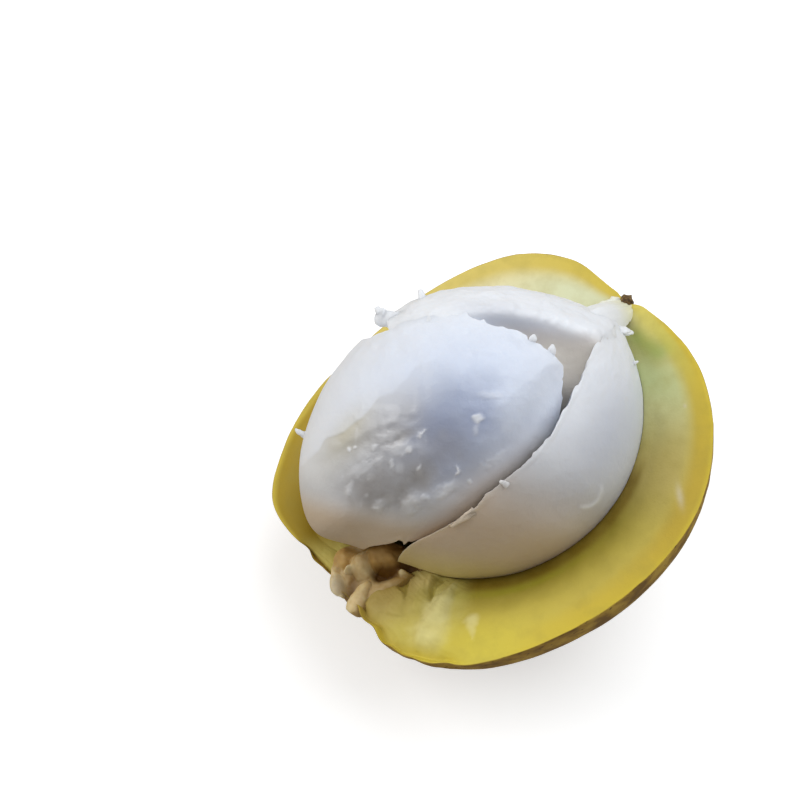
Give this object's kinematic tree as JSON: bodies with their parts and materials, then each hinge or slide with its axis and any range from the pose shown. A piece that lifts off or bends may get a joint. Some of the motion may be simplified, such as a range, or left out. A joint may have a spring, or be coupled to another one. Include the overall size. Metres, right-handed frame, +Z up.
{
  "type": "cut half of a bacuri fruit with its pulp",
  "caption": "Cut half of a round yellow bacuri resting on its skin, its thick rind open upward around white pulp segments tied to a dry stalk stub.",
  "frame": {"origin": "middle of the bottom of its box, on the surface that it rests on", "axes": "+Z up; the cut face leans 18 degrees to -X, and the stalk end points to +X and +Y"},
  "size_m": [0.0946, 0.1006, 0.0782],
  "materials": {
    "rind": "thick fruit rind, waxy yellow skin outside and moist yellow-green flesh where it is cut",
    "stalk": "dry dark brown stalk",
    "pulp_front": "moist white pulp, grey where the seed shows through",
    "pulp_right": "smooth moist white pulp",
    "pulp_back": "smooth moist white pulp with a hollow",
    "strands": "white fibrous strands",
    "torn_tissue": "torn moist tan tissue"
  },
  "bodies": {
    "root": {"rind_half": "rind", "stalk_stub": "stalk", "pulp_segment_front": "pulp_front", "pulp_segment_right": "pulp_right", "pulp_segment_back": "pulp_back", "pulp_neck": "strands", "placenta_remnant": "torn_tissue"}
  },
  "joints": []
}
